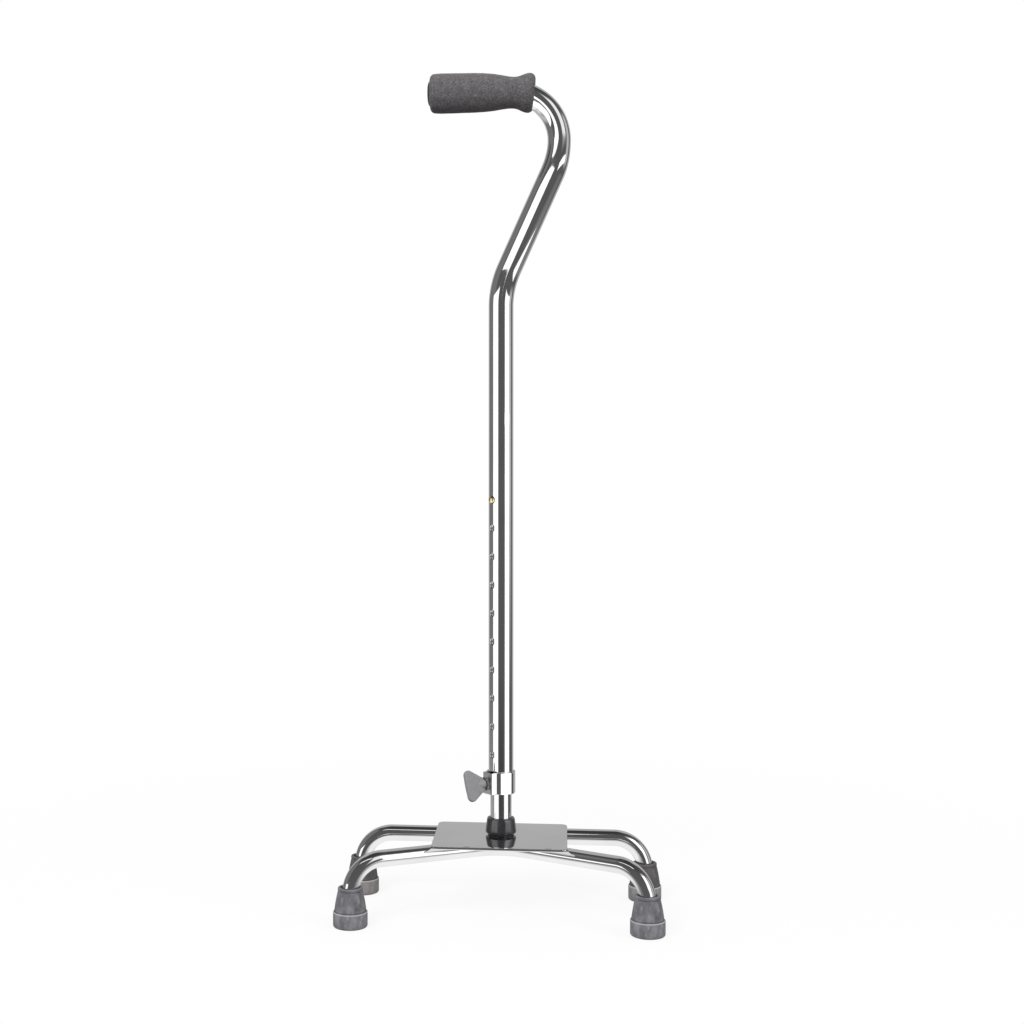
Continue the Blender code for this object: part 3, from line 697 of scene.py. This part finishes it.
def make_wing():
    """The cast wing: a plump rounded spade with full lobes and softened rims, over a short hub."""
    lobe, hub, thick = 4.8 * MM, 5.9 * MM, 3.8 * MM
    end = WING_LENGTH
    centre = (end - 6.0 * MM, 9.1 * MM)
    upper = [(0.2 * MM, hub - 1.0 * MM), (0.8 * MM, hub - 0.2 * MM), (2.2 * MM, hub + 0.6 * MM)]
    upper += arc(centre, lobe, 112, 10, 14) + [(end - 1.15 * MM, 5.5 * MM), (end - 1.0 * MM, 2.8 * MM)]
    outline = upper + [(end - 0.95 * MM, 0)] + [(p, -q) for p, q in reversed(upper)]
    bm = bmesh.new()
    rows = [[bm.verts.new((side * thick / 2, q, HUB_START + p)) for p, q in outline] for side in (-1, 1)]
    bm.faces.new(rows[0])
    bm.faces.new(list(reversed(rows[1])))
    for i in range(len(outline)):
        j = (i + 1) % len(outline)
        bm.faces.new((rows[0][j], rows[0][i], rows[1][i], rows[1][j]))
    wing = finished(bm, "wing_cast", CAST)
    rim = wing.modifiers.new("rim", "BEVEL")
    rim.width, rim.segments, rim.limit_method, rim.angle_limit = 1.25 * MM, 4, "ANGLE", radians(60)
    applied(wing)
    barrel = [(0, 0), (4.1 * MM, 0), (4.2 * MM, 0.6 * MM), (4.1 * MM, 3.4 * MM)]
    barrel += [(1.8 * MM, 6.6 * MM), (0, 7.0 * MM)]
    barrel = [(r, HUB_START + z) for r, z in barrel]
    combine(wing, [lathe("barrel", barrel, None, 48)], "UNION")
    wide, start, floor = STUD_RADIUS + 0.3 * MM, HUB_START - MM, HUB_START + 2.6 * MM
    bore = [(0, start), (wide, start), (wide, floor), (0, floor)]
    combine(wing, [lathe("bore", bore, None, 48)])
    remesh = wing.modifiers.new("skin", "REMESH")
    remesh.mode, remesh.voxel_size = "VOXEL", 0.26 * MM
    soften = wing.modifiers.new("soften", "SMOOTH")
    soften.factor, soften.iterations = 0.5, 6
    applied(wing, 180)
    wing.data.transform(frame_at(CLAMP_AZIMUTH, CLAMP_Z) @ Matrix.Rotation(WING_ROLL, 4, "Z"))
    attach(wing, "thumb_screw")
    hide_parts("thumb_screw_wing")


def make_stud():
    """The screw's rod, with a thread cut as close ridges."""
    tip, end, depth = 9.9 * MM, HUB_START + 2.2 * MM, 0.55 * MM
    profile = [(0.0, end), (STUD_RADIUS, end), (STUD_RADIUS, HUB_START + 0.5 * MM)]
    z = HUB_START + 0.3 * MM
    root = STUD_RADIUS - depth
    while z - STUD_PITCH > tip + 0.8 * MM:
        half_way = z - STUD_PITCH / 2
        profile += [(STUD_RADIUS, z), (STUD_RADIUS, z - 0.2 * MM)]
        profile += [(root, half_way - 0.05 * MM), (root, half_way - 0.2 * MM)]
        z -= STUD_PITCH
    profile += [(root, tip + 0.4 * MM), (STUD_RADIUS - 0.9 * MM, tip), (0.0, tip)]
    stud = lathe("stud_threaded", profile, STEEL, 48, frame_at(CLAMP_AZIMUTH, CLAMP_Z))
    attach(stud, "thumb_screw")
    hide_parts("thumb_screw_stud")

    low, high, hole = HUB_START - 1.3 * MM, HUB_START - GAP, STUD_RADIUS + GAP
    rim = 6.0 * MM
    ring = [(rim - 0.25 * MM, high), (rim, high - 0.25 * MM), (rim, low + 0.25 * MM), (rim - 0.25 * MM, low)]
    ring += [(hole, low), (hole, high)]
    washer = lathe("screw_washer", ring, STEEL, 48, frame_at(CLAMP_AZIMUTH, CLAMP_Z))
    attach(washer, "screw_carrier")
    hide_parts("thumb_screw_washer")


# --- stem, button and boot ---------------------------------------------------


def make_stem():
    bottom = PLATE_TOP_Z + GAP
    count = 14
    stations = []
    for i in range(count + 1):
        z = STEM_TOP_Z + (bottom - STEM_TOP_Z) * i / count
        stations.append((Vector((0, STEM_Y, z)), STEM_RADIUS, STEM_RADIUS - STEM_WALL))
    stem = pipe("stem_bright", stations, TUBE, 72)
    cutter = hole_cutter(HOLE_RADIUS, HOLE_AZIMUTH, BUTTON_Z, 3 * MM, 9.2 * MM, 9.8 * MM, 0.2 * MM)
    combine(stem, [cutter])
    true_round(stem, STEM_RADIUS, STEM_TOP_Z)
    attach(stem, "base")
    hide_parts("stem_tube")


def make_button():
    dome_low, tip = 11.9 * MM, 13.9 * MM
    profile = []
    for a in range(90, -1, -10):
        profile.append((BUTTON_RADIUS * cos(radians(a)), dome_low + (tip - dome_low) * sin(radians(a))))
    profile[0] = (0.0, tip)
    profile += [(BUTTON_RADIUS, 7.2 * MM), (3.3 * MM, 7.2 * MM), (3.3 * MM, 6.5 * MM), (0.0, 6.5 * MM)]
    button = lathe("button_domed", profile, BRASS, 56, frame_at(HOLE_AZIMUTH, BUTTON_Z))
    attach(button, "button")
    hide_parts("snap_button")


def make_boot():
    bottom, top, bore = PLATE_TOP_Z + GAP, PLATE_TOP_Z + 15.4 * MM, STEM_RADIUS + 0.25 * MM
    profile = [(bore, top - 0.7 * MM), (bore + 0.5 * MM, top - 0.1 * MM), (11.3 * MM, top)]
    shoulder, corner = 12.35 * MM, 1.1 * MM
    for a in (30, 60, 90):
        profile.append((shoulder - corner * (1 - sin(radians(a))), top - corner * (1 - cos(radians(a)))))
    for i in range(1, 9):
        t = i / 8
        profile.append((shoulder + 1.35 * MM * t**0.8, top - corner - t * 9.8 * MM))
    profile += [(13.8 * MM, bottom + 2.9 * MM), (13.75 * MM, bottom + 2.2 * MM), (13.4 * MM, bottom + 1.7 * MM)]
    profile += [(12.4 * MM, bottom + 1.4 * MM), (12.0 * MM, bottom + 0.9 * MM)]
    profile += [(11.9 * MM, bottom), (bore, bottom)]
    boot = lathe("boot_moulded", profile, BOOT, 80, Matrix.Translation((0, STEM_Y, 0)))
    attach(boot, "base")
    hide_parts("stem_boot")


# --- base --------------------------------------------------------------------


def make_plate():
    """The plate, with rolled edges, and two small filled welds at its front edge."""
    low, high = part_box("base_plate")
    corner, thick = 6.0 * MM, high.z - low.z
    outline = []
    for x, y, start in ((high.x, high.y, 0), (low.x, high.y, 90), (low.x, low.y, 180), (high.x, low.y, 270)):
        centre = (x - corner if x > 0 else x + corner, y - corner if y == high.y else y + corner)
        outline += arc(centre, corner, start, start + 90, 14)
    bm = bmesh.new()
    rows = [[bm.verts.new((x, y, z)) for x, y in outline] for z in (low.z, high.z)]
    bm.faces.new(rows[1])
    bm.faces.new(list(reversed(rows[0])))
    for i in range(len(outline)):
        j = (i + 1) % len(outline)
        bm.faces.new((rows[0][i], rows[0][j], rows[1][j], rows[1][i]))
    plate = finished(bm, "plate_bright", PLATE, 50)
    edge = plate.modifiers.new("edges", "BEVEL")
    edge.width, edge.segments, edge.limit_method, edge.angle_limit = thick * 0.30, 5, "ANGLE", radians(60)
    applied(plate, 50)
    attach(plate, "base")
    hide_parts("base_plate")
    for hand, x in (("left", -28 * MM), ("right", 43 * MM)):
        dome = [(0.0, 0.32 * MM), (1.2 * MM, 0.26 * MM), (2.0 * MM, 0.1 * MM)]
        dome += [(2.3 * MM, -0.15 * MM), (0.0, -0.2 * MM)]
        place = Matrix.Translation((x, low.y + 2.4 * MM, high.z - 0.03 * MM))
        place = place @ Matrix.Diagonal((1.5, 0.6, 1.0, 1.0))
        weld = lathe(f"plug_weld_{hand}", dome, STEEL, 40, place)
        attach(weld, "base")


def leg_points(foot_x, foot_y, arm_angle, apex_radius):
    inward = Vector((-cos(arm_angle), sin(arm_angle), 0))
    foot = Vector((foot_x, foot_y, 0))
    right = [foot + Vector((0, 0, 8.8 * MM)), foot + Vector((0, 0, 20 * MM))]
    for across, z in arc((LEG_BEND_RADIUS, LEG_LEVEL_Z - LEG_BEND_RADIUS), LEG_BEND_RADIUS, 180, 90, 30):
        right.append(foot + inward * across + Vector((0, 0, z)))
    middle = []
    if arm_angle:
        corner_y = foot_y + foot_x * tan(arm_angle)
        angle = degrees(arm_angle)
        bend = arc((0, corner_y - apex_radius / cos(arm_angle)), apex_radius, 90 - angle, 90 + angle, 30)
        middle = [Vector((x, y, LEG_LEVEL_Z)) for x, y in bend]
    left = [Vector((-p.x, p.y, p.z)) for p in reversed(right)]
    return right + middle + left


def make_legs():
    rows = (("front", -FOOT_Y, FRONT_ARM_ANGLE), ("rear", FOOT_Y, 0.0))
    for row, foot_y, angle in rows:
        points = leg_points(FOOT_X[row], foot_y, angle, FRONT_APEX_RADIUS)
        leg = pipe(f"{row}_leg_bright", [(p, LEG_RADIUS, LEG_RADIUS - LEG_WALL) for p in points], TUBE, 56)
        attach(leg, "base")
        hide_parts(f"{row}_leg")


def tip_profile():
    """Rubber tip, from its mouth down the outside, across the sole and up the bore."""
    top, band, lip = 34.0 * MM, TIP_BAND_Z, 0.9 * MM
    profile = [(8.7 * MM, top), (9.6 * MM, top)]
    profile += [(10.0 * MM + lip * sin(radians(a)), top - lip + lip * cos(radians(a))) for a in (0, 30, 60, 90)]
    profile += [(10.9 * MM, top - 2.2 * MM), (10.75 * MM, top - 2.6 * MM), (10.35 * MM, top - 2.8 * MM)]
    profile += [(10.45 * MM, top - 3.2 * MM), (10.95 * MM, top - 3.5 * MM)]
    cone_top, cone_low = (10.95 * MM, top - 3.5 * MM), (13.9 * MM, band + 0.9 * MM)
    for i in range(1, 9):
        t = i / 8
        bulge = 0.25 * MM * sin(pi * t)
        r = cone_top[0] + (cone_low[0] - cone_top[0]) * t + bulge
        profile.append((r, cone_top[1] + (cone_low[1] - cone_top[1]) * t))
    profile += [(14.05 * MM, band + 0.35 * MM), (14.35 * MM, band + 0.1 * MM), (14.75 * MM, band)]
    profile += [(14.93 * MM, band - 0.2 * MM)]
    profile += [(TIP_RADIUS, band - 0.6 * MM), (TIP_RADIUS, 6 * MM), (TIP_RADIUS, 1.8 * MM)]
    profile += [(14.8 * MM, 0.9 * MM), (14.3 * MM, 0.3 * MM), (13.6 * MM, 0.0), (11.0 * MM, 0.0)]
    groove = 1.0 * MM
    profile += [(10.7 * MM, 0.7 * MM), (10.2 * MM, groove), (8.8 * MM, groove)]
    profile += [(8.3 * MM, 0.7 * MM), (8.0 * MM, 0.0)]
    bore, seat = 7.55 * MM, 6.5 * MM
    profile += [(0.0, 0.0), (0.0, seat), (bore, seat), (bore, 28.5 * MM), (8.5 * MM, 33.6 * MM)]
    return profile


def seam(turn, z):
    """A fine mould line down two opposite sides of a tip."""
    if not 0.5 * MM < z < 33.5 * MM:
        return 0.0
    near = min(abs(((turn - at + pi) % (2 * pi)) - pi) for at in (radians(-78), radians(102)))
    return 0.13 * MM * exp(-((near / radians(1.6)) ** 2))


def make_tips():
    """The four tips, with mould lines and a slightly uneven skin that differs from tip to tip."""
    outline = tip_profile()
    start = outline.index((0.0, 0.0))
    solid = outline[start + 1 :] + outline[:start] + [(0.0, 0.0)]  # from the bore's floor to the sole's middle
    for row, sy in (("front", -1), ("rear", 1)):
        for hand, sx in (("left", -1), ("right", 1)):
            # The rear tips take the copy with painted light and shade.
            material = RUBBER if row == "front" else RUBBER_REAR_PAINTED_LIGHT
            tip = lathe(f"rubber_tip_{row}_{hand}", solid, material, 120)
            for vertex in tip.data.vertices:
                co = vertex.co
                r = hypot(co.x, co.y)
                if r > 9.2 * MM and co.z > 0.2 * MM:
                    place = Vector((co.x, co.y, co.z * 1.5)) / (5 * MM) + Vector((sx, sy, 0)) * 9
                    uneven = noise.noise(place) * 0.05 * MM
                    grow = min(seam(atan2(co.y, co.x), co.z) + uneven, TIP_RADIUS - r)
                    co.x += co.x / r * grow
                    co.y += co.y / r * grow
            tip.location = (sx * FOOT_X[row], sy * FOOT_Y, 0)
            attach(tip, "base")
            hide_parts(f"tip_{row}_{hand}")


def dress_cad_nodes():
    """CAD nodes whose shape is right keep it and get their finish."""
    for name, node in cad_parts.items():
        if name.startswith(("tip_washer", "weld_bead")) or name == "clamp_nut":
            finish = STEEL
        elif name == "button_spring":
            finish = SPRING_STEEL
        else:
            continue
        node.data.materials.clear()
        node.data.materials.append(finish)


# --- studio ------------------------------------------------------------------


CARD_GLOW = 1.15  # radiance of the white cards

# What the bright metal sees far off is a dim room over a white floor, by elevation in degrees and radiance, with a
# few big soft panels in it. The near white cards are lights, made in make_cards.
ROOM = ((-40, 0.95), (-24, 0.40), (-12, 0.10), (0, 0.10), (45, 0.09), (80, 0.04))
PANELS = (  # turn from straight ahead (-Y) towards +X, width, bottom and top, all in degrees, and radiance
    (180, 100, -30, 70, 0.45),  # back wall
    (-90, 60, -30, 60, 0.18),  # left wall
    (95, 30, -10, 40, 0.50),  # right wall
    (-120, 80, -30, -8, 0.55),  # pale low wall at the left
    (5, 40, -20, -6, 0.03),  # dark stand under the camera
    (-42, 32, 8, 14, 0.95),  # low window at the left
    (50, 34, 8, 55, 0.95),  # tall window at the right
)
PANEL_FADE = 10.0  # degrees over which a panel's edge fades


def make_world():
    """White to the camera, the room to the shiny surfaces, and a soft gradient to the rest."""
    world = bpy.data.worlds.new("studio")
    bpy.context.scene.world = world
    world.use_nodes = True
    made = Graph(world.node_tree)
    split = made.node("ShaderNodeSeparateXYZ")
    made.links.new(made.node("ShaderNodeTexCoord").outputs["Generated"], split.inputs[0])
    x, y, z = split.outputs
    turn = made.math("MULTIPLY", made.math("ARCTAN2", x, made.math("MULTIPLY", y, -1.0)), 180 / pi)
    elevation = made.math("MULTIPLY", made.math("ARCSINE", z), 180 / pi)

    stops = [(at / 180 + 0.5, level) for at, level in ROOM]
    colour = made.ramp(made.math("MULTIPLY_ADD", elevation, 1 / 180, 0.5), stops)
    for at, width, bottom, top, level in PANELS:
        off = made.math("ABSOLUTE", made.math("WRAP", made.math("SUBTRACT", turn, at), 180.0, -180.0))
        across = made.span(off, (width - PANEL_FADE) / 2, (width + PANEL_FADE) / 2, 1.0, 0.0, "SMOOTHSTEP")
        above = made.span(elevation, bottom, bottom + PANEL_FADE, shape="SMOOTHSTEP")
        below = made.span(elevation, top - PANEL_FADE, top, 1.0, 0.0, "SMOOTHSTEP")
        inside = made.math("MULTIPLY", across, made.math("MULTIPLY", above, below))
        colour = made.mix(inside, colour, (level, level, level))

    # Everything that isn't a mirror is lit by a soft gradient from the floor to overhead.
    height = made.math("MULTIPLY_ADD", z, 0.5, 0.5)
    fill = made.ramp(height, [(0.0, 0.10), (0.44, 0.27), (0.60, 0.76), (1.0, 0.64)])
    rays = made.node("ShaderNodeLightPath")
    colour = made.mix(rays.outputs["Is Glossy Ray"], fill, colour)
    colour = made.mix(rays.outputs["Is Camera Ray"], colour, (1.0, 1.0, 1.0))
    made.links.new(colour, made.nodes["Background"].inputs["Color"])


def make_lights():
    """One big soft light ahead and above, and a weaker one from the right. The metal's reflections come from
    the room and the cards instead."""
    lights = (
        ("key", (-0.9, -2.0, 1.9), (0, 0, 0.35), 1.6, 38.0),
        ("side", (1.9, -1.2, 1.2), (0, 0, 0.3), 1.2, 12.0),
    )
    for name, place, aim, size, power in lights:
        data = bpy.data.lights.new(name, "AREA")
        data.shape, data.size, data.energy = "DISK", size, power
        light = bpy.data.objects.new(name, data)
        light.location = place
        light.rotation_mode = "QUATERNION"
        light.rotation_quaternion = (Vector(aim) - Vector(place)).to_track_quat("-Z", "Y")
        light.visible_glossy = False
        bpy.context.scene.collection.objects.link(light)


def make_cards():
    """White cards near the cane, seen only in the bright metal. Those round the shaft face it, and each lights one
    group of pieces, because the shaft's side cards would otherwise wash out the legs."""
    groups = {
        "shaft": ("upper_tube_bright", "stem_bright", "boot_moulded", "button_domed"),
        "strap": ("collar_strap",),
        "legs": ("front_leg_bright", "rear_leg_bright"),
    }
    receivers = {}
    for group, names in groups.items():
        receivers[group] = bpy.data.collections.new(f"lit_by_{group}_cards")
        for name in names:
            receivers[group].objects.link(bpy.data.objects[name])

    def card(name, width, height):
        data = bpy.data.lights.new(name, "AREA")
        data.shape, data.size, data.size_y, data.diffuse_factor = "RECTANGLE", width, height, 0.0
        data.energy = pi * CARD_GLOW * width * height
        light = bpy.data.objects.new(name, data)
        light.visible_camera = False
        bpy.context.scene.collection.objects.link(light)
        return light

    # name, group, turn in degrees and distance from the shaft, bottom, top, width
    cards = (
        ("card_left", "shaft", -49.0, 0.5, -0.12, 0.66, 0.470),
        ("card_right", "shaft", 61.0, 0.5, -0.12, 0.46, 0.420),
        ("card_high_right", "shaft", 61.0, 3.0, 0.50, 0.86, 2.5),
        ("card_strap", "strap", 37.0, 0.5, -0.15, 0.35, 0.80),
        ("card_low_left", "legs", -57.0, 1.5, -0.15, 0.24, 0.7),
        ("card_low_right", "legs", 57.0, 1.0, -0.25, 0.95, 0.5),
    )
    for name, group, turn, distance, bottom, top, width in cards:
        light = card(name, width, top - bottom)
        away = Vector((sin(radians(turn)), -cos(radians(turn)), 0.0))
        light.location = Vector((0, STEM_Y, (bottom + top) / 2)) + away * distance
        light.rotation_mode = "QUATERNION"
        light.rotation_quaternion = (-away).to_track_quat("-Z", "Y")
        light.light_linking.receiver_collection = receivers[group]
    # A strip ahead of the neck, with the neck's lean, that makes the long white wedge in it.
    strip = card("card_front", 0.68, 0.15)
    strip.location = (-0.205, STEM_Y - 0.47, 0.797)
    strip.rotation_euler = (radians(90), radians(24.2), 0)


def make_floor():
    """A pale floor that fades into the white around it."""
    bm = bmesh.new()
    bmesh.ops.create_circle(bm, cap_ends=True, segments=96, radius=14.0)
    floor = finished(bm, "floor", None)
    floor.location.z = -0.02 * MM
    made = Finish("floor_pale", Base_Color=(0.93, 0.93, 0.93), Roughness=1.0)
    made.shader.inputs["Specular IOR Level"].default_value = 0.0
    glow = made.node("ShaderNodeEmission")
    glow.inputs["Color"].default_value = (1, 1, 1, 1)
    place = made.node("ShaderNodeTexCoord")
    length = made.node("ShaderNodeVectorMath", operation="LENGTH")
    made.links.new(place.outputs["Object"], length.inputs[0])
    near, far, least_glow = 0.22, 0.9, 0.84
    blend = made.node("ShaderNodeMixShader")
    made.links.new(made.span(length.outputs["Value"], near, far, least_glow, 1.0, "SMOOTHSTEP"), blend.inputs[0])
    made.links.new(made.shader.outputs[0], blend.inputs[1])
    made.links.new(glow.outputs[0], blend.inputs[2])
    made.links.new(blend.outputs[0], made.nodes["Material Output"].inputs["Surface"])
    floor.data.materials.append(made.material)
    floor.visible_glossy = False
    floor.visible_diffuse = False
    floor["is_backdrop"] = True


def make_camera():
    pan, pitch = radians(-5.628), radians(0.152)
    data = bpy.data.cameras.new("camera")
    data.sensor_width, data.lens = 36.0, 54.893
    data.shift_x, data.shift_y = 0.1, -0.05
    camera = bpy.data.objects.new("camera", data)
    camera.location = (56.02 * MM, -1408.35 * MM + STEM_Y, 406.29 * MM)
    forward = Vector((sin(pan) * cos(pitch), cos(pan) * cos(pitch), -sin(pitch)))
    camera.rotation_mode = "QUATERNION"
    camera.rotation_quaternion = forward.to_track_quat("-Z", "Y")
    bpy.context.scene.collection.objects.link(camera)
    bpy.context.scene.camera = camera


make_camera()
make_world()
make_lights()
make_floor()
make_handle_tube()
make_grip()
make_plug()
make_collar()
make_wing()
make_stud()
make_stem()
make_button()
make_boot()
make_plate()
make_legs()
make_tips()
dress_cad_nodes()
make_cards()
bpy.context.scene.view_settings.view_transform = "Standard"
